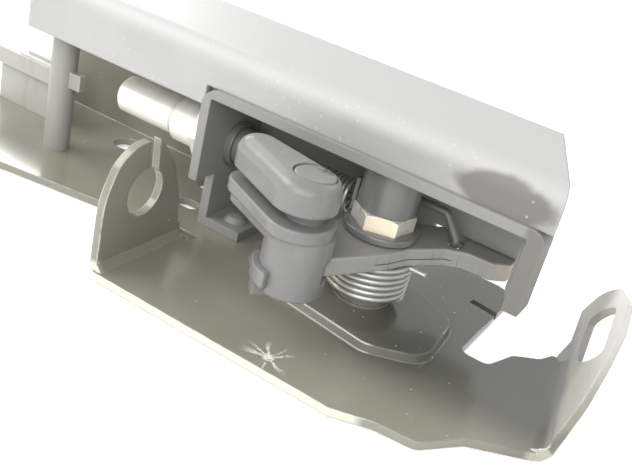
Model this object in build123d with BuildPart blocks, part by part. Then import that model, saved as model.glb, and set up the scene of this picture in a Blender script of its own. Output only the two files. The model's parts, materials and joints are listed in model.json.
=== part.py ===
from build123d import *
import math
import os

os.makedirs("parts", exist_ok=True)

# Seat lock actuator. All lengths are in mm, +Z up.
# The lever's pivot axis is X = 0, Y = 0 and the base plate's underside is Z = 0.

# running and standing clearances
run_gap = 0.04
slide_gap = 0.05
body_gap = 0.3
seat_gap = 0.0

# base plate
plate_t = 2.0
plate_front = -41.2
plate_left = -138.0
plate_back = 40.5
wall_y = 30.0
wall_top = 34.5
wall_high = 50.0
wall_end = -6.0
mouth_left = 27.0
mouth_bottom = 1.2
mouth_toe = 6.6
mouth_heel = 12.2
emboss_h = 2.0
emboss_slope = 20
mount_hole_d = 8.5
mount_hole_x = -92.0
mount_hole_y = 20.0
mount_hole_step = 32.0

# cable ear, bent up from the base plate
ear_x = -47.6
ear_front = -40.2
ear_back = -11.0
ear_top = 31.0
keyhole_y = -26.8
keyhole_z = 18.3
keyhole_r = 6.0
keyhole_slot_w = 3.2

# end flange on the right, folded up along a slanting line
fold_x = 49.2
fold_y = 2.0
fold_turn = 11.0
flange_tilt = 50.0
flange_w = 17.6
flange_slot_w = 7.2
flange_slot_len = 25.0
fold_start = 22.7
fold_end = 18.8
bend_r = 7.0
bend_end = 14.6

# pivot stack
stud_r = 4.0
stud_head_r = 8.0
stud_peen_r = 5.2
stud_peen_t = 2.2
spool_flange_r = 6.9
spool_flange_t = 0.8
spool_core_r = 6.2
arm_t = 4.4
arm_z = 17.4
washer_r = 8.8
washer_t = 1.7
hex_af = 13.0
hex_t = 4.0
sleeve_r = 7.0

# return spring round the spool
coil_r = 9.3
coil_wire_r = 0.7
coil_pitch = 1.52
coil_turns = 6
coil_leg = 4.6

# lever
bush_r = 5.6
arm_hub_r = 9.3
eye_x = -6.8
eye_y = -25.8
eye_r = 5.2
slot_w = 4.2

# knuckle
knuckle_pin_r = 2.0
boss_r = 7.5
boss_low = 13.4
flange_low = 27.4
flange_top = 30.2
cap_low = 33.2
cap_top = 40.2
cap_r = 7.4
tail_r = 5.0
tail_len = 17.6
tail_angle = 163.0
plug_r = 4.6

# inner bracket
brk_front = -9.0
brk_back = 18.5
brk_left = -49.0
brk_right = 38.1
brk_top = 41.0
brk_t = 2.5
leg_w = 3.7
leg_low = 21.6
leg_deep = 4.0
web_left = 32.8
back_right = 31.0
back_low = 18.6
back_step = 7.0

# lock pin
pin_y = 6.2
pin_z = 23.8
pin_r = 5.0
pin_tip = -84.0
pin_back = -42.0
rod_r = 0.95
rod_grip = 6.0
rod_y = 10.4
rod_z = 28.4
rod_end_x = 15.0
guide_r = 6.0
guide_left = -64.0
guide_hex_af = 15.0
plunger_coil_r = 3.9
plunger_wire_r = 0.45
plunger_turns = 26
seat_x = -10.2
seat_t = 1.0
fork_r = 1.35

# cover
cover_left = -108.0
cover_right = 39.0
cover_front = -8.0
cover_back = 32.0
cover_low = 36.0
cover_top = 51.0
cover_t = 2.4
cover_slant = 14.0
cover_round = 5.0

# left post, and the guide beam beside it
post_in = 6.5
post_y = 0.0
post_r = 3.6
beam_front = 10.0
beam_w = 7.0
beam_low = 13.5
beam_h = 5.0
beam_end = 0.5
beam_right = -113.0

# values worked out from the ones above
arm_top = arm_z + arm_t
washer_z = arm_top + body_gap
hex_z = washer_z + washer_t
sleeve_z = hex_z + hex_t
coil_z = arm_z - body_gap - coil_wire_r - coil_pitch * coil_turns
emboss_top = plate_t + emboss_h
brk_under = brk_top - brk_t
foot_top = plate_t + brk_t
post_x = cover_left + post_in
beam_left = plate_left + beam_end
fold_ux = -math.sin(math.radians(fold_turn))
fold_uy = math.cos(math.radians(fold_turn))
flange_cos = math.cos(math.radians(flange_tilt))
flange_sin = math.sin(math.radians(flange_tilt))
bend_run = bend_r * math.tan(math.radians(flange_tilt / 2))
tail_dx = math.cos(math.radians(tail_angle))
tail_dy = math.sin(math.radians(tail_angle))
tail_x = eye_x + tail_len * tail_dx
tail_y = eye_y + tail_len * tail_dy
nose_x = eye_x - 0.8
nose_y = eye_y - 0.8

# base plate with its ear, emboss, mouth and end flange
with BuildPart() as base_plate:
    with BuildSketch(Plane.XY):
        with BuildLine():
            FilletPolyline(
                (ear_x - 2, plate_front),
                (16, plate_front),
                (25, plate_front + 3.4),
                (34, plate_front + 4.4),
                (41, plate_front + 13.5),
                (fold_x - (fold_start + 0.5) * fold_ux, fold_y - (fold_start + 0.5) * fold_uy),
                (fold_x + 19.6 * fold_ux, fold_y + 19.6 * fold_uy),
                (fold_x - mouth_toe, mouth_bottom + 13.4),
                (fold_x - mouth_heel, mouth_bottom + 9.0),
                (mouth_left + 7.0, mouth_bottom),
                (mouth_left, mouth_bottom),
                (mouth_left, plate_back),
                (wall_end, plate_back),
                (wall_end - 7, wall_y + plate_t),
                (plate_left, wall_y + plate_t),
                (plate_left, -27),
                (ear_x - 2, ear_back + 1),
                radius=[3, 3, 3, 3, 3, 0.6, 1, 3, 2.5, 2.2, 2.2, 6, 3, 3, 3, 3, 3],
                close=True,
            )
        make_face()
    extrude(amount=plate_t)
    # rear wall bent up along the left back edge
    with BuildSketch(Plane.XZ.offset(-wall_y - plate_t)):
        with BuildLine():
            FilletPolyline(
                (plate_left + 3, -4),
                (plate_left + 3, wall_high),
                (cover_left - body_gap, wall_high),
                (cover_left - body_gap, wall_top),
                (wall_end - 12, wall_top),
                (wall_end - 12, -4),
                radius=2.5,
                close=True,
            )
        make_face()
        with Locations(((plate_left + wall_end) / 2, -5)):
            Rectangle(wall_end - plate_left, 10, mode=Mode.SUBTRACT)
    extrude(amount=plate_t)
    with BuildSketch(Plane.XY.offset(plate_t)):
        with BuildLine():
            FilletPolyline(
                (-31, -5),
                (-17, -14.2),
                (11, -18.6),
                (24, -12),
                (22, 9),
                (10, 15),
                (-12, 15),
                (-30, 9),
                radius=7.5,
                close=True,
            )
        make_face()
    extrude(amount=emboss_h, taper=emboss_slope)
    with BuildSketch(Plane.XY):
        with BuildLine():
            FilletPolyline(
                (-28.5, -4.3),
                (-16.4, -12.6),
                (10.4, -16.9),
                (22.2, -10.9),
                (20.4, 8),
                (9.4, 13.4),
                (-11.4, 13.4),
                (-27.7, 7.8),
                radius=6,
                close=True,
            )
        make_face()
    extrude(amount=emboss_h, taper=emboss_slope, mode=Mode.SUBTRACT)
    # cable ear
    with BuildSketch(Plane.YZ.offset(ear_x - plate_t)):
        with BuildLine():
            FilletPolyline(
                (ear_front, 0),
                (ear_front, 19),
                (ear_front + 3.4, ear_top - 3.8),
                (ear_front + 9.0, ear_top),
                (ear_back - 12.6, ear_top),
                (ear_back - 6.6, ear_top - 6.6),
                (ear_back - 2.4, ear_top - 17),
                (ear_back, 0),
                radius=[2.5, 18, 8, 8, 2.5, 6, 12, 2.5],
                close=True,
            )
        make_face()
        with BuildLine():
            Polyline((ear_front, 0), (ear_front, 6), (ear_back, 6), (ear_back, 0), close=True)
        make_face()
        with Locations((keyhole_y, keyhole_z)):
            Circle(keyhole_r, mode=Mode.SUBTRACT)
        with Locations(Location((keyhole_y + 1.6, keyhole_z + 9), 6)):
            Rectangle(keyhole_slot_w, 12, mode=Mode.SUBTRACT)
    extrude(amount=plate_t)
    with BuildSketch(Plane.XZ.offset(-ear_back)):
        with BuildLine():
            Polyline((ear_x, plate_t), (ear_x + 1.6, plate_t), (ear_x, plate_t + 1.6), close=True)
        make_face()
    extrude(amount=ear_back - ear_front)
    # slit, relief slots, screw holes and the stud's hole
    with BuildSketch(Plane.XY):
        with Locations(Location((mouth_left - 3.2, 25.2), -9)):
            Rectangle(8.4, 2.2)
        with Locations((ear_x + 0.6, ear_back + 2.4)):
            SlotOverall(7.0, 1.6)
        with Locations((ear_x - 9.5, 5)):
            SlotOverall(7.0, 5.0)
        with Locations((ear_x + 1.0, 15.8)):
            SlotOverall(6.0, 3.6, rotation=50)
        with Locations((mount_hole_x, mount_hole_y), (mount_hole_x + mount_hole_step, mount_hole_y)):
            Circle(mount_hole_d / 2)
        Circle(stud_r + seat_gap)
    extrude(amount=emboss_top, mode=Mode.SUBTRACT)
    # end flange: a wedge along the fold, then the tilted sheet with its adjusting slot
    fold_plane = Plane(
        origin=(fold_x - fold_start * fold_ux, fold_y - fold_start * fold_uy, 0),
        x_dir=(fold_uy, -fold_ux, 0),
        z_dir=(-fold_ux, -fold_uy, 0),
    )
    with BuildSketch(fold_plane):
        with BuildLine():
            Polyline(
                (-1.0, 0),
                (0, plate_t),
                (plate_t * flange_sin, plate_t - plate_t * flange_cos),
                (plate_t * flange_sin * 0.65, 0),
                close=True,
            )
        make_face()
    extrude(amount=-(fold_start + fold_end))
    # rounded inside of the bend
    with BuildSketch(fold_plane):
        with BuildLine():
            bend_arc = TangentArc(
                (-bend_run, plate_t),
                (bend_run * flange_cos, plate_t + bend_run * flange_sin),
                tangent=(1, 0),
            )
            Polyline(bend_arc @ 1, (0.3, plate_t - 0.2), bend_arc @ 0)
        make_face()
    extrude(amount=-(fold_start + bend_end))
    flange_plane = Plane(
        origin=(fold_x, fold_y, plate_t),
        x_dir=(fold_ux, fold_uy, 0),
        z_dir=(-fold_uy * flange_sin, fold_ux * flange_sin, flange_cos),
    )
    with BuildSketch(flange_plane):
        with BuildLine():
            FilletPolyline(
                (-fold_start - 0.2, 0.6),
                (fold_end + 0.2, 0.6),
                (24.0, -2.6),
                (40.0, -4.0),
                (46.0, -9.0),
                (44.0, -flange_w + 2.6),
                (33.0, -flange_w),
                (19.2, -flange_w + 1.0),
                (5.7, -flange_w + 4.3),
                (-8.6, -flange_w + 8.7),
                (-18.1, -flange_w + 13.1),
                (-fold_start - 0.1, -flange_w + 15.4),
                radius=[0.4, 0.4, 2, 2, 4, 5, 8, 6, 6, 6, 3, 1],
                close=True,
            )
        make_face()
        with Locations(Location((21.9, -9.7), -6)):
            SlotOverall(flange_slot_len, flange_slot_w, mode=Mode.SUBTRACT)
    extrude(amount=-plate_t)
base_plate.part.label = "base_plate"
export_step(base_plate.part, "parts/base_plate.step")

# pivot stud with a flat head hidden in the emboss and a riveted top end
with BuildPart() as pivot_stud:
    with BuildSketch(Plane.XY):
        Circle(stud_head_r)
    extrude(amount=emboss_h)
    with BuildSketch(Plane.XY):
        Circle(stud_r)
    extrude(amount=brk_top + stud_peen_t)
    with BuildSketch(Plane.XY.offset(brk_top)):
        Circle(stud_peen_r)
    extrude(amount=stud_peen_t)
    chamfer(pivot_stud.edges().group_by(Axis.Z)[-1], 0.6)
pivot_stud.part.label = "pivot_stud"
export_step(pivot_stud.part, "parts/pivot_stud.step")

# spring spool standing on the emboss
with BuildPart() as spring_spool:
    with BuildSketch(Plane.XY.offset(emboss_top)):
        Circle(spool_flange_r)
    extrude(amount=spool_flange_t)
    with BuildSketch(Plane.XY.offset(emboss_top)):
        Circle(spool_core_r)
    extrude(amount=arm_z - body_gap - emboss_top)
    with BuildSketch(Plane.XY.offset(emboss_top)):
        Circle(stud_r + seat_gap)
    extrude(amount=arm_z - emboss_top, mode=Mode.SUBTRACT)
spring_spool.part.label = "spring_spool"
export_step(spring_spool.part, "parts/spring_spool.step")

# torsion return spring with its two legs
with BuildPart() as return_spring:
    with BuildLine(Plane.XY.offset(coil_z)):
        coil = Helix(pitch=coil_pitch, height=coil_pitch * coil_turns, radius=coil_r)
    with BuildSketch(Plane(origin=coil @ 0, z_dir=coil % 0)):
        Circle(coil_wire_r)
    sweep(path=coil)
    coil_end = coil @ 1
    with BuildSketch(Plane.YZ.offset(coil_end.X - coil_wire_r)):
        with Locations((coil_end.Y - 0.1, coil_end.Z)):
            Circle(coil_wire_r)
    extrude(amount=coil_leg + coil_wire_r)
return_spring.part.label = "return_spring"
export_step(return_spring.part, "parts/return_spring.step")

# lever arm, cut from thick sheet
with BuildPart() as lever_arm:
    with BuildSketch(Plane.XY.offset(arm_z)):
        with BuildLine():
            FilletPolyline(
                (eye_x + 4.0, eye_y - 1.0),
                (7.2, -8.0),
                (9.2, -2.0),
                (14.6, 6.0),
                (19.0, 9.0),
                (25.5, 9.6),
                (28.8, 12.6),
                (28.8, 17.6),
                (26.0, 20.6),
                (12.0, 20.6),
                (2.0, 9.0),
                (-9.2, 2.0),
                (-9.6, -10.0),
                (eye_x - 3.8, eye_y + 1.5),
                radius=1.8,
                close=True,
            )
        make_face()
        with Locations((eye_x, eye_y)):
            Circle(eye_r)
        Circle(arm_hub_r)
        Circle(bush_r, mode=Mode.SUBTRACT)
        with Locations((eye_x, eye_y)):
            Circle(knuckle_pin_r, mode=Mode.SUBTRACT)
        with Locations(Location((rod_end_x - 0.5, rod_y + 2.9), 100)):
            SlotOverall(slot_w + 6.2, slot_w, mode=Mode.SUBTRACT)
    extrude(amount=arm_t)
    fillet(lever_arm.faces().sort_by(Axis.Z)[-1].outer_wire().edges(), 0.5)
lever_arm.part.label = "lever_arm"
export_step(lever_arm.part, "parts/lever_arm.step")

# bushing pressed in the lever
with BuildPart() as lever_bushing:
    with BuildSketch(Plane.XY.offset(arm_z)):
        Circle(bush_r)
        Circle(stud_r + run_gap, mode=Mode.SUBTRACT)
    extrude(amount=arm_t)
lever_bushing.part.label = "lever_bushing"
export_step(lever_bushing.part, "parts/lever_bushing.step")

# flanged washer, hex nut and spacer sleeve above the lever
with BuildPart() as pivot_washer:
    with BuildSketch(Plane.XY.offset(washer_z)):
        Circle(washer_r)
        Circle(stud_r + seat_gap, mode=Mode.SUBTRACT)
    extrude(amount=washer_t)
    fillet(pivot_washer.edges().group_by(Axis.Z)[-1].sort_by(SortBy.LENGTH)[-1], 0.6)
pivot_washer.part.label = "pivot_washer"
export_step(pivot_washer.part, "parts/pivot_washer.step")

with BuildPart() as pivot_nut:
    with BuildSketch(Plane.XY.offset(hex_z)):
        RegularPolygon(hex_af / 2, 6, major_radius=False, rotation=21)
    extrude(amount=hex_t)
    with BuildSketch(Plane.XZ):
        with BuildLine():
            Polyline(
                (hex_af / 2 - 0.2, hex_z + hex_t + 0.1),
                (hex_af / 2 + 2.5, hex_z + hex_t + 0.1),
                (hex_af / 2 + 2.5, hex_z + hex_t - 1.4),
                close=True,
            )
        make_face()
    revolve(axis=Axis.Z, mode=Mode.SUBTRACT)
    with BuildSketch(Plane.XY.offset(hex_z)):
        Circle(stud_r + seat_gap)
    extrude(amount=hex_t, mode=Mode.SUBTRACT)
pivot_nut.part.label = "pivot_nut"
export_step(pivot_nut.part, "parts/pivot_nut.step")

with BuildPart() as spacer_sleeve:
    with BuildSketch(Plane.XY.offset(sleeve_z)):
        Circle(sleeve_r)
        Circle(stud_r + seat_gap, mode=Mode.SUBTRACT)
    extrude(amount=brk_under - sleeve_z)
    chamfer(spacer_sleeve.edges().group_by(Axis.Z)[0].sort_by(SortBy.LENGTH)[-1], 0.5)
spacer_sleeve.part.label = "spacer_sleeve"
export_step(spacer_sleeve.part, "parts/spacer_sleeve.step")

# knuckle pin through the lever's eye
with BuildPart() as knuckle_pin:
    with BuildSketch(Plane.XY.offset(boss_low + 1.6)):
        with Locations((eye_x, eye_y)):
            Circle(knuckle_pin_r)
    extrude(amount=25.0 - boss_low - 1.6)
knuckle_pin.part.label = "knuckle_pin"
export_step(knuckle_pin.part, "parts/knuckle_pin.step")

# knuckle base: flange with a tail, and a slotted boss round the lever's eye
with BuildPart() as knuckle_base:
    with BuildSketch(Plane.XY.offset(flange_low)):
        with Locations((nose_x, nose_y)):
            Circle(cap_r + 0.5)
        with Locations((tail_x, tail_y)):
            Circle(tail_r + 0.5)
        make_hull()
    extrude(amount=flange_top - flange_low)
    fillet(knuckle_base.edges().group_by(Axis.Z)[-1], 0.6)
    # second, lower layer under the tail
    with BuildSketch(Plane.XY.offset(flange_low - 2.6)):
        with Locations((eye_x - 1.0, eye_y - 0.2)):
            Circle(boss_r - 0.6)
        with Locations((tail_x, tail_y)):
            Circle(tail_r - 0.6)
        make_hull()
    extrude(amount=2.6)
    with BuildSketch(Plane.XY.offset(boss_low)):
        with Locations((eye_x, eye_y)):
            Circle(boss_r)
    extrude(amount=flange_low - boss_low)
    # post that carries the cap
    with BuildSketch(Plane.XY.offset(flange_top)):
        with Locations((eye_x, eye_y)):
            Circle(plug_r - 0.4)
        with Locations((tail_x + 2, tail_y)):
            Circle(tail_r - 2.8)
    extrude(amount=cap_low - flange_top)
    # slot for the lever, open towards the pivot
    with BuildSketch(Plane.XY.offset(arm_z - body_gap)):
        with Locations((eye_x, eye_y)):
            Circle(eye_r + 0.5)
        with BuildLine():
            Polyline(
                (eye_x - 5.7, eye_y),
                (eye_x + 4.6, eye_y - 3.2),
                (eye_x + 9.5, eye_y + 1.6),
                (eye_x + 9.5, eye_y + 9),
                (eye_x - 9.5, eye_y + 9),
                (eye_x - 9.5, eye_y + 4.0),
                close=True,
            )
        make_face()
    extrude(amount=arm_t + 2 * body_gap, mode=Mode.SUBTRACT)
    # left half of the boss stops higher
    with BuildSketch(Plane.XY.offset(boss_low)):
        with Locations(Location((eye_x, eye_y), -20)):
            with Locations((-8.0, 0)):
                Rectangle(17.0, 20.0)
    extrude(amount=arm_z - body_gap - boss_low, mode=Mode.SUBTRACT)
    with BuildSketch(Plane.XY.offset(boss_low + 1.6)):
        with Locations((eye_x, eye_y)):
            Circle(knuckle_pin_r + run_gap)
    extrude(amount=25.0 - boss_low - 1.6, mode=Mode.SUBTRACT)
knuckle_base.part.label = "knuckle_base"
export_step(knuckle_base.part, "parts/knuckle_base.step")

# knuckle cap with rounded shoulders
with BuildPart() as knuckle_cap:
    with BuildSketch(Plane.XY.offset(cap_low)):
        with Locations((nose_x, nose_y)):
            Circle(cap_r)
        with Locations((tail_x, tail_y)):
            Circle(tail_r)
        make_hull()
    extrude(amount=cap_top - cap_low)
    fillet(knuckle_cap.edges().group_by(Axis.Z)[-1], 3.2)
    with BuildSketch(Plane.XY.offset(cap_low)):
        with Locations((eye_x, eye_y)):
            Circle(plug_r + 0.25)
    extrude(amount=cap_top - cap_low, mode=Mode.SUBTRACT)
knuckle_cap.part.label = "knuckle_cap"
export_step(knuckle_cap.part, "parts/knuckle_cap.step")

with BuildPart() as cap_plug:
    with BuildSketch(Plane.XY.offset(cap_low)):
        with Locations((eye_x, eye_y)):
            Circle(plug_r)
    extrude(amount=cap_top - cap_low - 0.15)
    fillet(cap_plug.edges().group_by(Axis.Z)[-1], 0.5)
cap_plug.part.label = "cap_plug"
export_step(cap_plug.part, "parts/cap_plug.step")

# small cable hook clipped round the boss's lower left
with BuildPart() as cable_hook:
    lip_start = (math.cos(math.radians(185)), math.sin(math.radians(185)))
    lip_end = (math.cos(math.radians(260)), math.sin(math.radians(260)))
    lip_r = boss_r + 1.5
    with BuildSketch(Plane.XY.offset(arm_z - body_gap - 2.2)):
        with BuildLine():
            CenterArc((eye_x, eye_y), lip_r, 185, 75)
            CenterArc((eye_x, eye_y), boss_r, 185, 75)
            Line(
                (eye_x + lip_r * lip_start[0], eye_y + lip_r * lip_start[1]),
                (eye_x + boss_r * lip_start[0], eye_y + boss_r * lip_start[1]),
            )
            Line(
                (eye_x + lip_r * lip_end[0], eye_y + lip_r * lip_end[1]),
                (eye_x + boss_r * lip_end[0], eye_y + boss_r * lip_end[1]),
            )
        make_face()
    extrude(amount=3.6)
    with BuildSketch(Plane.XY.offset(arm_z - 6.6)):
        with Locations(Location((eye_x - 3.9, eye_y - 3.5), 222)):
            Rectangle(6.0, 3.0)
    extrude(amount=6.0)
cable_hook.part.label = "cable_hook"
export_step(cable_hook.part, "parts/cable_hook.step")

# inner bracket: top, left wall, back wall, right leg and two feet
with BuildPart() as inner_bracket:
    leg_back = brk_front + leg_deep + brk_t
    # front frame with rounded upper corners and the right leg
    with BuildSketch(Plane.XZ.offset(-leg_back)):
        with BuildLine():
            FilletPolyline(
                (brk_left, pin_z - 7),
                (brk_left, brk_top),
                (brk_right, brk_top),
                (brk_right, leg_low),
                (brk_right - leg_w, leg_low),
                (brk_right - leg_w, brk_under),
                (brk_left + brk_t, brk_under),
                (brk_left + brk_t, pin_z - 7),
                radius=[0.5, 4.5, 3.0, 0.5, 0.5, 0.5, 0.5, 0.5],
                close=True,
            )
        make_face()
    extrude(amount=leg_back - brk_front)
    # top and left wall behind the frame
    with BuildSketch(Plane.XZ.offset(-brk_back)):
        with BuildLine():
            FilletPolyline(
                (brk_left, pin_z - 7),
                (brk_left, brk_top),
                (back_right, brk_top),
                (back_right, brk_under),
                (brk_left + brk_t, brk_under),
                (brk_left + brk_t, pin_z - 7),
                radius=[0.5, 4.5, 0.5, 0.5, 0.5, 0.5],
                close=True,
            )
        make_face()
    extrude(amount=brk_back - leg_back)
    with BuildSketch(Plane.XY.offset(brk_under)):
        with BuildLine():
            Polyline(
                (back_right - 1, leg_back - 1),
                (brk_right - 4, leg_back - 1),
                (brk_right - 4, leg_back),
                (back_right, brk_back),
                (back_right - 1, brk_back),
                close=True,
            )
        make_face()
    extrude(amount=brk_t)
    # web behind the leg
    with BuildSketch(Plane.XZ.offset(-leg_back)):
        with BuildLine():
            Polyline(
                (brk_right - leg_w + 1, brk_top - 1),
                (web_left, brk_top - 1),
                (web_left, leg_low + 3.2),
                (brk_right - leg_w - 1, leg_low + 0.5),
                (brk_right - leg_w + 1, leg_low + 0.5),
                close=True,
            )
        make_face()
    extrude(amount=brk_t)
    # back wall
    with BuildSketch(Plane.XZ.offset(-brk_back)):
        with BuildLine():
            Polyline(
                (brk_left, brk_under + 0.5),
                (back_right, brk_under + 0.5),
                (back_right, arm_top + body_gap),
                (back_step, arm_top + body_gap),
                (back_step, back_low),
                (brk_left, back_low),
                close=True,
            )
        make_face()
    extrude(amount=brk_t)
    # feet
    with BuildSketch(Plane.XY.offset(plate_t)):
        with Locations((brk_left + brk_t / 2, 4)):
            Rectangle(brk_t, 11)
        with Locations((-16, brk_back - brk_t / 2)):
            Rectangle(11, brk_t)
    extrude(amount=24.0)
    with BuildSketch(Plane.XY.offset(plate_t)):
        with Locations((brk_left + 6.5, 4)):
            Rectangle(13, 11)
        with Locations((-16, brk_back + 4)):
            Rectangle(11, 13)
    extrude(amount=brk_t)
    # forked seat for the plunger spring
    with BuildSketch(Plane.YZ.offset(seat_x)):
        with BuildLine():
            Polyline(
                (pin_y - 3.2, arm_top + 0.4),
                (pin_y - 3.2, rod_z + 2.0),
                (brk_back - 1, rod_z + 2.0),
                (brk_back - 1, arm_top + 0.4),
                close=True,
            )
        make_face()
    extrude(amount=seat_t)
    with BuildSketch(Plane.YZ.offset(seat_x)):
        with Locations((pin_y, pin_z - 4), (pin_y, pin_z), (rod_y - 0.6, rod_z - 0.5)):
            Circle(fork_r)
        make_hull()
    extrude(amount=seat_t, mode=Mode.SUBTRACT)
    # holes for the stud and the pin guide
    with BuildSketch(Plane.XY.offset(brk_under)):
        Circle(stud_r + seat_gap)
    extrude(amount=brk_t, mode=Mode.SUBTRACT)
    with BuildSketch(Plane.YZ.offset(brk_left - 1)):
        with Locations((pin_y, pin_z)):
            Circle(guide_r)
    extrude(amount=brk_t + 2, mode=Mode.SUBTRACT)
inner_bracket.part.label = "inner_bracket"
export_step(inner_bracket.part, "parts/inner_bracket.step")

# domed rivets on the bracket's feet
rivet_places = {"foot_rivet_left": (brk_left + 8, 4), "foot_rivet_back": (-16, brk_back + 5.5)}
for rivet_name, (rx, ry) in rivet_places.items():
    with BuildPart() as foot_rivet:
        with BuildSketch(Plane.XZ.offset(-ry)):
            with BuildLine():
                Polyline(
                    (rx, foot_top),
                    (rx + 3.2, foot_top),
                    (rx + 2.2, foot_top + 1.5),
                    (rx, foot_top + 2.0),
                    close=True,
                )
            make_face()
        revolve(axis=Axis((rx, ry, 0), (0, 0, 1)))
    foot_rivet.part.label = rivet_name
    export_step(foot_rivet.part, "parts/" + rivet_name + ".step")

# guide nut for the lock pin, screwed through the bracket's left wall
with BuildPart() as pin_guide:
    with BuildSketch(Plane.YZ.offset(guide_left)):
        with Locations((pin_y, pin_z)):
            Circle(guide_r)
    extrude(amount=brk_left + brk_t + 2 - guide_left)
    with BuildSketch(Plane.YZ.offset(brk_left - 7)):
        with Locations((pin_y, pin_z)):
            RegularPolygon(guide_hex_af / 2, 6, major_radius=False)
    extrude(amount=7)
    with BuildSketch(Plane.YZ.offset(guide_left - 1)):
        with Locations((pin_y, pin_z)):
            Circle(pin_r + slide_gap)
    extrude(amount=40, mode=Mode.SUBTRACT)
pin_guide.part.label = "pin_guide"
export_step(pin_guide.part, "parts/pin_guide.step")

# lock pin with a chamfered tip
with BuildPart() as lock_pin:
    with BuildSketch(Plane.YZ.offset(pin_tip)):
        with Locations((pin_y, pin_z)):
            Circle(pin_r)
    extrude(amount=pin_back - pin_tip)
    chamfer(lock_pin.edges().group_by(Axis.X)[0], 1.2)
    with BuildSketch(Plane.YZ.offset(guide_left - 1.4)):
        with Locations((pin_y, pin_z)):
            Circle(pin_r)
            Circle(pin_r - 0.3, mode=Mode.SUBTRACT)
    extrude(amount=0.4, mode=Mode.SUBTRACT)
    with BuildSketch(Plane.YZ.offset(pin_back - rod_grip)):
        with Locations((pin_y, pin_z)):
            Circle(rod_r)
    extrude(amount=rod_grip, mode=Mode.SUBTRACT)
lock_pin.part.label = "lock_pin"
export_step(lock_pin.part, "parts/lock_pin.step")

# link rod from the pin to the lever's slot
with BuildPart() as link_rod:
    with BuildLine() as rod_path:
        FilletPolyline(
            (pin_back - rod_grip, pin_y, pin_z),
            (seat_x - 1.1, pin_y, pin_z),
            (seat_x + 2.2, rod_y, rod_z),
            (rod_end_x - 4.0, rod_y, rod_z),
            (rod_end_x, rod_y, rod_z - 5.4),
            (rod_end_x, rod_y, arm_z + 0.6),
            radius=1.6,
        )
    with BuildSketch(Plane.YZ.offset(pin_back - rod_grip)):
        with Locations((pin_y, pin_z)):
            Circle(rod_r)
    sweep(path=rod_path.wires()[0], transition=Transition.ROUND)
link_rod.part.label = "link_rod"
export_step(link_rod.part, "parts/link_rod.step")

# plunger spring round the rod
with BuildPart() as plunger_spring:
    plunger_len = seat_x - pin_back - 2 * plunger_wire_r - body_gap
    with BuildLine():
        plunger = Helix(
            pitch=plunger_len / plunger_turns,
            height=plunger_len,
            radius=plunger_coil_r,
            center=(pin_back + plunger_wire_r, pin_y, pin_z),
            direction=(1, 0, 0),
        )
    with BuildSketch(Plane(origin=plunger @ 0, z_dir=plunger % 0)):
        Circle(plunger_wire_r)
    sweep(path=plunger)
plunger_spring.part.label = "plunger_spring"
export_step(plunger_spring.part, "parts/plunger_spring.step")

# grey cover standing on the bracket
with BuildPart() as cover:
    with BuildSketch(Plane.XY.offset(cover_low)):
        with BuildLine():
            Polyline(
                (cover_left, cover_front),
                (cover_right, cover_front),
                (cover_right - cover_slant, cover_back),
                (cover_left, cover_back),
                close=True,
            )
        make_face()
    extrude(amount=cover_top - cover_low)
    fillet(cover.edges().filter_by(Axis.X).group_by(Axis.Z)[-1], cover_round)
    with BuildSketch(Plane.XY.offset(cover_low)):
        with BuildLine():
            Polyline(
                (cover_left - 1, cover_front + cover_t),
                (cover_right - 1.2 * cover_t, cover_front + cover_t),
                (cover_right - 1.2 * cover_t - cover_slant, cover_back - cover_t),
                (cover_left - 1, cover_back - cover_t),
                close=True,
            )
        make_face()
    extrude(amount=cover_top - cover_t - cover_low, mode=Mode.SUBTRACT)
    # the lower edge steps up over the bracket
    with BuildSketch(Plane.XY.offset(cover_low)):
        with Locations(((brk_left + cover_right) / 2 + 2, (cover_front + cover_back) / 2)):
            Rectangle(cover_right - brk_left + 4, cover_back - cover_front)
    extrude(amount=brk_top - cover_low, mode=Mode.SUBTRACT)
cover.part.label = "cover"
export_step(cover.part, "parts/cover.step")

# post at the left that carries the cover's free end
with BuildPart() as left_post:
    with BuildSketch(Plane.XY.offset(plate_t)):
        with Locations((post_x, post_y)):
            Circle(post_r)
    extrude(amount=cover_top - cover_t - plate_t)
    with BuildSketch(Plane.XY.offset(21)):
        with Locations((post_x + post_r + 1.2, post_y)):
            Rectangle(4.6, 2.2)
    extrude(amount=4.4)
left_post.part.label = "left_post"
export_step(left_post.part, "parts/left_post.step")

# guide beam behind the post: a web standing on the plate, a rail on it and two ribs
with BuildPart() as guide_beam:
    with BuildSketch(Plane.YZ.offset(beam_left)):
        with BuildLine():
            Polyline(
                (beam_front + 1.5, plate_t),
                (beam_front + beam_w, plate_t),
                (beam_front + beam_w, beam_low + beam_h),
                (beam_front, beam_low + beam_h),
                (beam_front, beam_low),
                (beam_front + 1.5, beam_low),
                close=True,
            )
        make_face()
        for rib in range(2):
            with Locations((beam_front + 1.0 + 3.4 * rib, beam_low + beam_h)):
                Rectangle(1.2, 1.2)
    extrude(amount=beam_right - beam_left)
    with BuildSketch(Plane.YZ.offset(beam_left)):
        with Locations((beam_front + 3, beam_low + beam_h + 3)):
            Rectangle(beam_w + 6, 6)
    extrude(amount=8.5, mode=Mode.SUBTRACT)
guide_beam.part.label = "guide_beam"
export_step(guide_beam.part, "parts/guide_beam.step")
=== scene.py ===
import bpy
import json
from mathutils import Matrix, Vector


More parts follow.
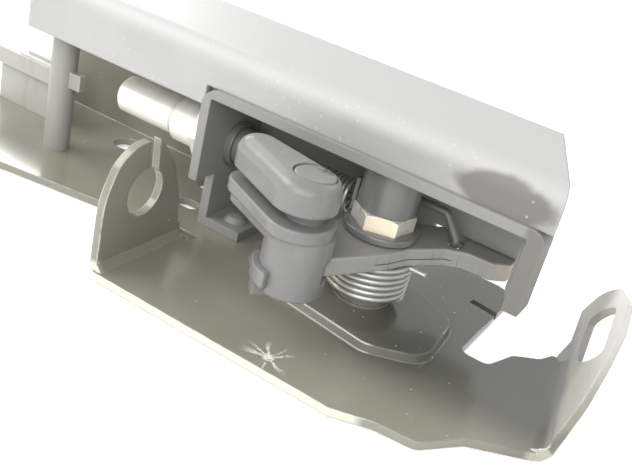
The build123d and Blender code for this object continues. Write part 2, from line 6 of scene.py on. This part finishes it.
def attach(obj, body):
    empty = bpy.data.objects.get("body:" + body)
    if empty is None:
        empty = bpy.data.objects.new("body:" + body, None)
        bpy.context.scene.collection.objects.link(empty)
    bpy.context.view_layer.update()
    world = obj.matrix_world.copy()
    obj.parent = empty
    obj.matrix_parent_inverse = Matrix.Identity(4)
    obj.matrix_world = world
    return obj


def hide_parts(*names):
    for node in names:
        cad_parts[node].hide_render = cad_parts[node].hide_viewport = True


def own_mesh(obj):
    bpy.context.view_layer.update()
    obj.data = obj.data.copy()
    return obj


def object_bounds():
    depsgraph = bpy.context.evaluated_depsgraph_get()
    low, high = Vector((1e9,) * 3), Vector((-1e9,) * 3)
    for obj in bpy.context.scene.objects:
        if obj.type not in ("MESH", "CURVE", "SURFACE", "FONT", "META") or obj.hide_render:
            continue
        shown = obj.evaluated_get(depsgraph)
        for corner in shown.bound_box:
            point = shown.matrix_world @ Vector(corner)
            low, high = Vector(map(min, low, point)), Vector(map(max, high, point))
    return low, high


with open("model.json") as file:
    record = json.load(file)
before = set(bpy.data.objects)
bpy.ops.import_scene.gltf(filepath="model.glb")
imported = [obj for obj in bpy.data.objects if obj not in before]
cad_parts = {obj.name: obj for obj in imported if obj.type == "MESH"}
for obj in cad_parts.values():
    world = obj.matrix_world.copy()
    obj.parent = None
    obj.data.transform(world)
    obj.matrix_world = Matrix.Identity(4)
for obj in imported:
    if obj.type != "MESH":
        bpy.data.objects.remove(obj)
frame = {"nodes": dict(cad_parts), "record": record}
cad_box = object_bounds()


class Value:
    """One output socket. Arithmetic on it adds Math nodes to its tree."""

    def __init__(self, bench, socket):
        self.bench = bench
        self.socket = socket

    def other(self, name):
        """Another output of the same node."""
        return Value(self.bench, self.socket.node.outputs[name])

    def maths(self, operation, *terms):
        return self.bench.add("ShaderNodeMath", {"operation": operation}, dict(enumerate(terms)))

    def __add__(self, more):
        return self.maths("ADD", self, more)

    def __radd__(self, more):
        return self.maths("ADD", more, self)

    def __sub__(self, less):
        return self.maths("SUBTRACT", self, less)

    def __rsub__(self, less):
        return self.maths("SUBTRACT", less, self)

    def __mul__(self, times):
        return self.maths("MULTIPLY", self, times)

    def __rmul__(self, times):
        return self.maths("MULTIPLY", times, self)

    def __abs__(self):
        return self.maths("ABSOLUTE", self)

    def most(self, level):
        return self.maths("MAXIMUM", self, level)

    def least(self, level):
        return self.maths("MINIMUM", self, level)

    def rise(self, low, high):
        """A smooth step: none at low, one at high. It falls where low is above high."""
        return self.bench.add(
            "ShaderNodeMapRange",
            {"interpolation_type": "SMOOTHSTEP"},
            {"Value": self, "From Min": low, "From Max": high, "To Min": 0.0, "To Max": 1.0},
        )

    def band(self, low, high, soft):
        """One from low to high, fading out over soft on both sides."""
        return self.rise(low - soft, low) * self.rise(high + soft, high)


class Bench:
    """A node tree of a finish or of the room, with the parts that this lock's surfaces share."""

    def __init__(self, tree):
        self.tree = tree
        tree.nodes.clear()

    def add(self, kind, settings, inputs, out=0):
        """Adds a node: its settings first, then its sockets' values or links. Returns one output."""
        node = self.tree.nodes.new(kind)
        for name, setting in settings.items():
            setattr(node, name, setting)
        for name, given in inputs.items():
            if isinstance(given, Value):
                self.tree.links.new(given.socket, node.inputs[name])
            else:
                node.inputs[name].default_value = given
        return Value(self, node.outputs[out]) if node.outputs else node

    def place(self):
        return self.add("ShaderNodeTexCoord", {}, {}, "Object")

    def along(self, vector):
        """The three numbers of a vector."""
        first = self.add("ShaderNodeSeparateXYZ", {}, {0: vector})
        return first, first.other(1), first.other(2)

    def drawn(self, sx, sy, sz):
        """Object coordinates stretched along the axes, for grain that runs one way."""
        inputs = {0: self.place(), 1: (sx, sy, sz)}
        return self.add("ShaderNodeVectorMath", {"operation": "MULTIPLY"}, inputs)

    def noise(self, scale, detail=3.0, rough=0.55, over=None, warp=0.0):
        inputs = {"Vector": over or self.place(), "Scale": scale, "Detail": detail}
        return self.add("ShaderNodeTexNoise", {}, {**inputs, "Roughness": rough, "Distortion": warp})

    def specks(self, scale, size, crowd):
        """Scattered dust specks, thinned out where a slow noise is below crowd."""
        cells = self.add("ShaderNodeTexVoronoi", {}, {"Vector": self.place(), "Scale": scale})
        return cells.rise(size, size * 0.5) * self.noise(scale * 0.14).rise(crowd, crowd + 0.1)

    def rounded(self, radius):
        """The surface normal with its sharp edges rounded off."""
        return self.add("ShaderNodeBevel", {"samples": 6}, {"Radius": radius})

    def edges(self, radius, reach=0.12):
        """One along sharp edges, where the rounded normal leaves the true one."""
        true = self.add("ShaderNodeNewGeometry", {}, {}, "Normal")
        inputs = {0: self.rounded(radius), 1: true}
        meet = self.add("ShaderNodeVectorMath", {"operation": "DOT_PRODUCT"}, inputs, "Value")
        return meet.rise(1.0 - reach * 0.12, 1.0 - reach)

    def facing(self):
        """The surface normal's three parts, along the lock's own axes."""
        return self.along(self.add("ShaderNodeNewGeometry", {}, {}, "Normal"))

    def ball(self, middle, radius, soft):
        """One inside a ball, fading out over soft."""
        inputs = {0: self.place(), 1: middle}
        away = self.add("ShaderNodeVectorMath", {"operation": "DISTANCE"}, inputs, "Value")
        return away.rise(radius + soft, radius)

    def coat(self, amount, under, over):
        """The colour over laid on the colour under by amount."""
        return self.add("ShaderNodeMix", {"data_type": "RGBA"}, {0: amount, 6: under, 7: over}, 2)

    def relief(self, height, strength, depth, radius):
        """A bumped normal on softly rounded edges."""
        soft = self.rounded(radius)
        inputs = {"Height": height, "Strength": strength, "Distance": depth, "Normal": soft}
        return self.add("ShaderNodeBump", {}, inputs)

    def surface(self, **sockets):
        """The Principled shader, its sockets named with underscores for spaces."""
        inputs = {name.replace("_", " "): given for name, given in sockets.items()}
        return self.add("ShaderNodeBsdfPrincipled", {}, inputs)

    def seen(self):
        """One for what the lens, gloss and see-through surfaces look at, none for plain light."""
        looked_at = self.add("ShaderNodeLightPath", {}, {}, "Is Camera Ray")
        mirrored = looked_at.other("Is Glossy Ray")
        return (looked_at + mirrored + looked_at.other("Is Transmission Ray")).least(1.0)


def grey(level, warmth=0.0):
    """A near-neutral colour. Warmth takes blue away."""
    return (level, level * (1.0 - warmth * 0.12), level * (1.0 - warmth), 1.0)


def tone(red, green, blue):
    return (red, green, blue, 1.0)


def finish(build):
    """Makes a material named after the function that lays its surface."""
    material = bpy.data.materials.new(build.__name__)
    material.use_nodes = True
    bench = Bench(material.node_tree)
    bench.add("ShaderNodeOutputMaterial", {}, {"Surface": build(bench)})
    return material


def dipped_plate(b):
    """Glossy olive-black dip coat with bright cut edges, dust, runs and a star of scuffs; the bright
    cut edges are partly bare steel and partly painted highlight, with painted glare on the flange and
    a painted highlight on the emboss's front rim.
    """
    x, y, z = b.along(b.place())
    cloud = b.noise(18.0)
    stain = b.noise(55.0, 4.0, 0.6, b.drawn(1.0, 0.35, 1.0), 0.8)
    peel = b.noise(700.0, 2.0)
    fine = b.noise(3800.0, 2.0)
    dust = b.specks(330.0, 0.11, 0.5)
    grit = b.specks(900.0, 0.13, 0.47)
    cut_edge = b.edges(0.0006) * b.noise(240.0, 4.0, 0.7).rise(0.3, 0.62)
    # the cut edge is painted brightest at the front, at the flange's fold and round the mouth: partly
    # bare steel, partly painted highlight
    front_edge = y.rise(-0.0372, -0.0392)
    fold_edge = x.rise(0.0505, 0.0530)
    mouth_edge = b.ball((0.033, 0.005, 0.002), 0.012, 0.003)
    left_edge = 0.45 * x.rise(-0.0455, -0.0470)
    outline = (front_edge + fold_edge + mouth_edge).most(left_edge).least(1.0)
    # hairs of bare steel scratched outwards from one dent near the front edge
    dent_place = (-0.0020, -0.0366, 0.002)
    away_x = x - dent_place[0]
    away_y = y - dent_place[1]
    turned = b.add("ShaderNodeMath", {"operation": "ARCTAN2"}, {0: away_y, 1: away_x})
    wander = b.noise(420.0, 2.0)
    fan = b.add("ShaderNodeCombineXYZ", {}, {0: turned * 2.4 + wander, 1: 7.0})
    spokes = b.noise(1.0, 1.0, 0.5, fan)
    star = b.ball(dent_place, 0.0008, 0.0062) * spokes.rise(0.52, 0.60)
    dent = b.ball(dent_place, 0.0006, 0.0012)
    scuff = star.most(dent) * b.noise(1500.0, 3.0).rise(0.34, 0.52)
    # painted glare: the flange's upper part is painted pale and mottled, as a painted highlight
    mottled = (0.8 + 0.4 * b.noise(130.0, 4.0)).least(1.0)
    bloom_and_painted_glare = mottled * x.rise(0.0475, 0.0515) * z.rise(0.006, 0.015)
    # the plate is darker from the pivot over its right half, on its low surfaces only
    darker_patch = y.rise(-0.031, -0.012) * x.rise(-0.012, 0.014) * z.rise(0.006, 0.004)
    # the plate's front side faces and the flange's outer side are painted pale: partly bare cut
    # steel, partly painted highlight
    side = abs(b.facing()[2]).rise(0.8, 0.5)
    front_flank = y.rise(-0.0385, -0.0395) * z.rise(0.005, 0.003)
    flank = side * (front_flank + 0.5 * x.rise(0.0510, 0.0530)).least(1.0)
    wear_and_highlight = 0.16 * y.rise(0.027, 0.022) + 0.62 * outline
    # painted highlight: the emboss's front rim is painted white
    rim_height = z.band(0.0022, 0.0060, 0.0003)
    rim_depth = y.rise(-0.0110, -0.0125) * y.rise(-0.030, -0.025)
    rim = b.edges(0.0007, 0.06) * x.band(-0.021, 0.011, 0.002) * rim_depth * rim_height
    bumps = peel * 0.35 + fine * 0.08 + cloud * 1.6 - scuff * 0.6 + dust * 0.5
    colour = b.coat(cloud.rise(0.35, 0.65), tone(0.235, 0.228, 0.185), tone(0.275, 0.267, 0.218))
    colour = b.coat(stain.rise(0.58, 0.74) * 0.35, colour, tone(0.29, 0.275, 0.215))
    colour = b.coat(darker_patch * 0.9, colour, tone(0.085, 0.084, 0.077))
    # painted glare on the flange
    colour = b.coat(bloom_and_painted_glare, colour, tone(0.76, 0.75, 0.71))
    # pale side faces: partly bare cut steel, partly painted highlight
    colour = b.coat(flank * 0.85, colour, tone(0.74, 0.72, 0.63))
    colour = b.coat(dust * 0.75, colour, grey(0.55, 0.12))
    colour = b.coat(grit * 0.35, colour, grey(0.42, 0.12))
    colour = b.coat(scuff * 0.95, colour, grey(0.85, 0.06))
    # pale cut edges: partly bare steel, partly painted highlight
    colour = b.coat(cut_edge * wear_and_highlight, colour, tone(0.86, 0.84, 0.75))
    # painted highlight on the emboss's front rim
    colour = b.coat(rim, colour, grey(1.0, 0.02))
    return b.surface(
        Base_Color=colour,
        Roughness=0.16 + 0.10 * cloud + 0.3 * scuff + 0.2 * dust + 0.2 * bloom_and_painted_glare,
        Metallic=cut_edge * outline * 0.4,
        Coat_Weight=0.15,
        Coat_Roughness=0.06,
        Normal=b.relief(bumps, 0.10, 0.0002, 0.0005),
    )


def coated_bracket(b):
    """Satin grey-black coat of the bracket, dull and dusty; the leg is painted darker as painted
    shade, and its edges are paler, partly worn and partly painted highlight.
    """
    x = b.along(b.place())[0]
    cloud = b.noise(38.0, 4.0)
    runs = b.noise(300.0, 3.0, 0.6, b.drawn(1.0, 1.0, 0.12))
    grain = b.noise(2600.0, 2.0)
    dust = b.specks(620.0, 0.10, 0.5)
    leg = x.rise(0.0330, 0.0345)
    rubbed_and_highlit = b.edges(0.0005) * (0.03 + 0.35 * leg)
    colour = b.coat(cloud, grey(0.25, 0.03), grey(0.29, 0.04))
    # painted shade: the leg is painted darker
    colour = b.coat(leg * 0.8, colour, tone(0.150, 0.145, 0.131))
    colour = b.coat(runs.rise(0.55, 0.72) * 0.4 * leg, colour, tone(0.31, 0.30, 0.265))
    colour = b.coat(dust * 0.45, colour, grey(0.42, 0.1))
    # paler edges, most on the leg: partly worn, partly painted highlight
    colour = b.coat(rubbed_and_highlit, colour, grey(0.45, 0.1))
    return b.surface(
        Base_Color=colour,
        Roughness=0.44 + 0.16 * cloud,
        Metallic=rubbed_and_highlit * 0.3,
        Normal=b.relief(grain * 0.6 + cloud + runs * leg, 0.12, 0.0001, 0.0004),
    )


def lever_coat(b):
    """The lever: dark satin faces, and a cut edge painted lighter as painted light and torn below,
    with painted backlight at its far end.
    """
    x, _, z = b.along(b.place())
    cloud = b.noise(70.0, 4.0)
    grain = b.noise(2400.0, 2.0)
    side = abs(b.facing()[2]).rise(0.7, 0.35)
    tear = b.noise(1300.0, 3.0, 0.7, b.drawn(1.0, 1.0, 0.05))
    upper = z.rise(0.0190, 0.0194)
    torn = side * (1.0 - upper) * tear.rise(0.45, 0.66)
    marks = side * tear.rise(0.6, 0.68) * x.band(0.004, 0.019, 0.002)
    line = side * z.band(0.01900, 0.01915, 0.00012) * x.band(0.006, 0.016, 0.001)
    far_end = side * x.rise(0.0240, 0.0275)
    worn = b.edges(0.0006)
    colour = b.coat(cloud, grey(0.23, 0.03), grey(0.275, 0.04))
    # painted light: the cut edge faces are painted lighter than the top
    colour = b.coat(side * 0.55, colour, grey(0.42, 0.04))
    colour = b.coat(torn * 0.4, colour, grey(0.42, 0.05))
    colour = b.coat(marks * 0.5, colour, grey(0.09))
    colour = b.coat(line * 0.9, colour, grey(0.03))
    # painted light: the far end is painted pale and warm, as lit from behind
    colour = b.coat(far_end * 0.6, colour, tone(0.52, 0.46, 0.37))
    colour = b.coat(worn * (0.12 + 0.3 * cloud), colour, grey(0.48, 0.08))
    return b.surface(
        Base_Color=colour,
        Roughness=0.36 + 0.14 * cloud + 0.16 * torn,
        Metallic=0.12 * side + 0.2 * worn,
        Normal=b.relief(grain * 0.3 + torn * 1.2 - line * 2.0 - marks, 0.22, 0.0002, 0.0004),
    )


def black_oxide(b):
    """Oily black of the washer, sleeve and rod, with a thin bright rim, partly worn edge and partly
    painted highlight.
    """
    cloud = b.noise(160.0)
    rings = b.noise(1700.0, 2.0, 0.6, b.drawn(0.2, 0.2, 1.0))
    rim = b.edges(0.0005)
    colour = b.coat(cloud, grey(0.15, 0.03), grey(0.21, 0.04))
    # bright rim on the edges: partly worn, partly painted highlight
    colour = b.coat(rim * (0.3 + 0.6 * cloud), colour, grey(0.55, 0.08))
    return b.surface(
        Base_Color=colour,
        Roughness=0.27 + 0.15 * cloud,
        Metallic=0.2 + 0.3 * rim,
        Normal=b.relief(rings + cloud, 0.12, 0.0001, 0.0004),
    )


def zinc_plate(b):
    """Zinc plate: scratched upright on the flats, with a painted warm reflection on the flat towards
    the front.
    """
    across, front, _ = b.facing()
    scratch = b.noise(2000.0, 4.0, 0.7, b.drawn(1.0, 1.0, 0.08))
    cross = b.noise(1400.0, 3.0, 0.7, b.drawn(0.5, 0.5, 1.0), 1.0)
    cloud = b.noise(180.0, 4.0)
    worn = b.edges(0.0004)
    # painted reflection: the flat facing the front is painted warm cream and less metallic
    painted_warm_reflection = (across * 0.36 - front * 0.93).rise(0.90, 0.985)
    scored = scratch.rise(0.52, 0.66) * (1.0 - 0.8 * painted_warm_reflection)
    colour = b.coat(cloud, grey(0.62, 0.08), grey(0.84, 0.1))
    colour = b.coat(painted_warm_reflection * 0.9, colour, tone(1.0, 0.86, 0.64))
    colour = b.coat(scored * 0.6, colour, grey(0.20, 0.1))
    colour = b.coat(cross.rise(0.62, 0.7) * 0.25, colour, grey(0.86, 0.06))
    colour = b.coat(worn * 0.6, colour, grey(0.92, 0.06))
    return b.surface(
        Base_Color=colour,
        Roughness=0.32 + 0.18 * cloud + 0.1 * scratch,
        Metallic=0.6 - 0.45 * painted_warm_reflection,
        Normal=b.relief(scratch + cross * 0.4, 0.18, 0.0001, 0.0003),
    )


def bright_wire(b):
    """Drawn spring wire with a rusty tint at the coil's left front."""
    drawn = b.noise(2600.0)
    cloud = b.noise(130.0, 4.0)
    rust = b.ball((-0.0070, -0.0075, 0.011), 0.0022, 0.005) * cloud.rise(0.38, 0.6)
    colour = b.coat(cloud, grey(0.42, 0.03), grey(0.62, 0.04))
    colour = b.coat(rust * 0.6, colour, tone(0.46, 0.33, 0.22))
    return b.surface(
        Base_Color=colour,
        Roughness=0.3 + 0.16 * cloud + 0.2 * rust,
        Metallic=0.7,
        Normal=b.relief(drawn, 0.15, 0.0001, 0.0002),
    )


def ground_pin(b):
    """Cream-white ground pin and its guide, with turning rings and a brownish painted shade on top.
    """
    rings = b.noise(2400.0, 3.0, 0.6, b.drawn(1.0, 0.12, 0.12))
    cloud = b.noise(120.0, 4.0)
    worn = b.edges(0.0005)
    # painted shade: the upward faces are painted darker brown
    painted_top_shade = b.facing()[2].rise(0.55, 0.98) * cloud.rise(0.3, 0.6)
    colour = b.coat(cloud, tone(0.96, 0.94, 0.85), tone(1.0, 0.98, 0.92))
    colour = b.coat(rings.rise(0.58, 0.78) * 0.25, colour, tone(0.60, 0.55, 0.44))
    colour = b.coat(painted_top_shade * 0.3, colour, tone(0.62, 0.52, 0.38))
    inner = b.along(b.place())[0].rise(-0.0478, -0.0468)
    colour = b.coat(worn * 0.3, colour, tone(0.60, 0.55, 0.45))
    colour = b.coat(inner * 0.95, colour, grey(0.16, 0.02))
    return b.surface(
        Base_Color=colour,
        Roughness=0.28 + 0.16 * cloud,
        Metallic=0.25,
        Normal=b.relief(rings, 0.12, 0.0001, 0.0005),
    )


def moulded_black(b):
    """Satin black plastic of the knuckle, dusty, with fine scratches and edges painted paler as a
    painted highlight.
    """
    grain = b.noise(3200.0, 3.0, 0.6)
    cloud = b.noise(70.0, 4.0)
    bloom_and_painted_glare = b.noise(240.0, 4.0, 0.65)
    dust = b.specks(560.0, 0.09, 0.5)
    scratch = b.noise(640.0, 3.0, 0.7, b.drawn(0.25, 1.0, 1.0), 0.6).rise(0.66, 0.72)
    shoulder = b.edges(0.0010, 0.2)
    # painted shade: a frayed near-black patch at the back of the plug's seam, where the gap is
    seam = b.ball((-0.0060, -0.0218, 0.0402), 0.0012, 0.0020) * b.noise(1100.0, 3.0).rise(0.42, 0.52)
    chipped = b.ball((0.0010, -0.0258, 0.0402), 0.0004, 0.0012) * b.noise(900.0, 3.0).rise(0.4, 0.5)
    colour = b.coat(cloud, grey(0.175, 0.01), grey(0.215, 0.02))
    colour = b.coat(bloom_and_painted_glare.rise(0.5, 0.75) * 0.3, colour, grey(0.28, 0.02))
    colour = b.coat(dust * 0.6, colour, grey(0.48, 0.04))
    colour = b.coat(scratch * 0.35, colour, grey(0.26, 0.02))
    # painted highlight: the rounded edges are painted paler
    colour = b.coat(shoulder * (0.10 + 0.3 * cloud), colour, grey(0.34, 0.03))
    colour = b.coat(seam * 0.85, colour, grey(0.03))
    colour = b.coat(chipped * 0.8, colour, grey(0.75, 0.03))
    return b.surface(
        Base_Color=colour,
        Roughness=0.30 + 0.14 * cloud + 0.1 * scratch,
        Coat_Weight=0.15,
        Normal=b.relief(grain * 0.8 + scratch * 0.5 + bloom_and_painted_glare * 0.8, 0.12, 0.0001, 0.0007),
    )


def cover_grey(b):
    """Pale satin grey of the cover, darker to the right, its upward faces painted paler as painted
    light, with one dark patch on the front.
    """
    x = b.along(b.place())[0]
    grain = b.noise(2800.0, 3.0, 0.6)
    cloud = b.noise(30.0, 4.0)
    streak = b.noise(90.0, 4.0, 0.6, b.drawn(0.25, 1.0, 2.0))
    rubbed_and_highlit = b.edges(0.0012)
    top = b.facing()[2].rise(-0.1, 0.85)
    right = x.rise(-0.060, 0.030)
    patch_middle = (0.0113, -0.0008, 0.0447)
    inputs = {0: b.drawn(0.42, 0.1, 1.0), 1: patch_middle}
    away = b.add("ShaderNodeVectorMath", {"operation": "DISTANCE"}, inputs, "Value")
    patch = (away + 0.0022 * b.noise(160.0, 4.0)).rise(0.0062, 0.0048)
    flakes = b.specks(480.0, 0.20, 0.46)
    colour = b.coat(right, grey(0.40, 0.02), grey(0.32, 0.02))
    colour = b.coat(cloud.rise(0.4, 0.7) * 0.35, colour, grey(0.52, 0.02))
    colour = b.coat(streak.rise(0.55, 0.75) * 0.2, colour, grey(0.36, 0.02))
    # painted light: the upward faces are painted paler
    colour = b.coat(top, colour, grey(0.47, 0.01))
    colour = b.coat(patch * 0.9, colour, tone(0.160, 0.150, 0.143))
    colour = b.coat(patch * flakes * 0.7, colour, grey(0.72, 0.03))
    colour = b.coat(flakes * 0.25, colour, grey(0.74, 0.03))
    # paler edges: partly worn, partly painted highlight
    colour = b.coat(rubbed_and_highlit * 0.35, colour, grey(0.80, 0.03))
    return b.surface(
        Base_Color=colour,
        Roughness=0.42 + 0.14 * cloud + 0.1 * patch,
        Normal=b.relief(grain + cloud + patch * b.noise(700.0, 3.0, 0.7), 0.1, 0.0001, 0.0010),
    )


def guide_grey(b):
    """Greenish-grey moulded plastic of the post and the guide beam."""
    grain = b.noise(2400.0, 3.0, 0.6)
    cloud = b.noise(60.0, 4.0)
    upright = b.noise(200.0, 4.0, 0.6, b.drawn(1.0, 1.0, 0.15))
    edge = b.edges(0.0006)
    x = b.along(b.place())[0]
    colour = b.coat(x.rise(-0.1125, -0.1060), grey(0.42, 0.06), grey(0.29, 0.09))
    colour = b.coat(cloud * 0.4, colour, grey(0.42, 0.1))
    colour = b.coat(upright.rise(0.52, 0.7) * 0.35, colour, grey(0.26, 0.1))
    # painted highlight: the edges are painted pale
    colour = b.coat(edge * (0.25 + 0.5 * cloud), colour, grey(0.72, 0.06))
    return b.surface(
        Base_Color=colour,
        Roughness=0.36 + 0.14 * cloud,
        Normal=b.relief(grain + upright, 0.12, 0.0001, 0.0005),
    )


def white_floor(b):
    """Pale floor: it takes the lock's shadow, and lens and gloss see it a little brighter."""
    grain = b.noise(30.0)
    shaded = b.surface(
        Base_Color=b.coat(grain, grey(0.90, 0.01), grey(0.93, 0.01)),
        Roughness=0.8,
        Normal=b.relief(grain, 0.02, 0.001, 0.001),
    )
    dark = b.add("ShaderNodeEmission", {}, {"Color": grey(0.0), "Strength": 0.0})
    glow = b.add("ShaderNodeEmission", {}, {"Color": grey(1.0), "Strength": 0.42})
    lift = b.add("ShaderNodeMixShader", {}, {0: b.seen(), 1: dark, 2: glow})
    return b.add("ShaderNodeAddShader", {}, {0: shaded, 1: lift})


slot_finishes = {
    "black_steel": dipped_plate,
    "bracket_steel": coated_bracket,
    "lever_steel": lever_coat,
    "black_washer": black_oxide,
    "zinc": zinc_plate,
    "spring_steel": bright_wire,
    "bright_pin": ground_pin,
    "black_plastic": moulded_black,
    "grey_cover": cover_grey,
    "guide_plastic": guide_grey,
}
made = {slot: finish(build) for slot, build in slot_finishes.items()}
for entry in frame["record"]["subparts"]:
    solid = frame["nodes"][entry["node"]]
    solid.data.materials.clear()
    solid.data.materials.append(made[entry["material_slot"]])


def free_plunger_spring():
    """The spring round the rod shortens as the pin slides back, so a copy stands in for the solid."""
    coil = bpy.data.objects.new("plunger_coil", frame["nodes"]["plunger_spring"].data.copy())
    bpy.context.collection.objects.link(coil)
    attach(coil, "housing")
    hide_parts("plunger_spring")
    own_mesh(coil)


def lay_floor():
    mesh = bpy.data.meshes.new("floor")
    half = 3.0
    clear_of_plate = 0.0004
    low = cad_box[0][2] - clear_of_plate
    corners = [(-half, -half, low), (half, -half, low), (half, half, low), (-half, half, low)]
    mesh.from_pydata(corners, [], [(0, 1, 2, 3)])
    mesh.materials.append(finish(white_floor))
    floor = bpy.data.objects.new("floor", mesh)
    bpy.context.collection.objects.link(floor)


def light_room():
    """A plain white room that lens and gloss see at full white."""
    world = bpy.data.worlds.new("white_room")
    bpy.context.scene.world = world
    world.use_nodes = True
    b = Bench(world.node_tree)
    soft = b.add("ShaderNodeBackground", {}, {"Color": grey(1.0, 0.015), "Strength": 0.62})
    white = b.add("ShaderNodeBackground", {}, {"Color": grey(1.0), "Strength": 1.0})
    room = b.add("ShaderNodeMixShader", {}, {0: b.seen(), 1: soft, 2: white})
    b.add("ShaderNodeOutputWorld", {}, {"Surface": room})


def hang_lamp(name, place, target, width, height, power):
    data = bpy.data.lights.new(name, "AREA")
    data.shape = "RECTANGLE"
    data.size = width
    data.size_y = height
    data.energy = power
    lamp = bpy.data.objects.new(name, data)
    lamp.location = place
    lamp.rotation_mode = "QUATERNION"
    lamp.rotation_quaternion = (Vector(target) - Vector(place)).to_track_quat("-Z", "Y")
    bpy.context.collection.objects.link(lamp)


def set_camera():
    """The photograph's viewpoint, without lens shift."""
    data = bpy.data.cameras.new("photo_camera")
    data.lens = 51.54
    data.sensor_width = 36.0
    data.clip_start = 0.01
    data.clip_end = 20.0
    camera = bpy.data.objects.new("photo_camera", data)
    right = Vector((0.82996, 0.51067, 0.22444))
    up = Vector((-0.40888, 0.28326, 0.86751))
    back = Vector((0.37944, -0.81177, 0.44391))
    turn = Matrix((right, up, back)).transposed()
    camera.matrix_world = Matrix.Translation((0.068005, -0.178323, 0.110319)) @ turn.to_4x4()
    bpy.context.collection.objects.link(camera)
    bpy.context.scene.camera = camera


free_plunger_spring()
lay_floor()
light_room()
knuckle_side = (-0.01, -0.01, 0.02)
hang_lamp("left_softbox", (-0.39, -0.16, 0.37), knuckle_side, 0.40, 0.24, 1.8)
hang_lamp("front_fill", (0.10, -0.40, 0.27), knuckle_side, 0.50, 0.30, 1.6)
hang_lamp("back_left_card", (-0.47, 0.330, 0.228), (-0.112, -0.008, 0.0), 0.24, 0.22, 1.3)
hang_lamp("back_right_fill", (0.25, 0.45, 0.50), (-0.02, 0.0, 0.03), 0.40, 0.30, 0.6)
set_camera()
bpy.context.scene.view_settings.view_transform = "Standard"
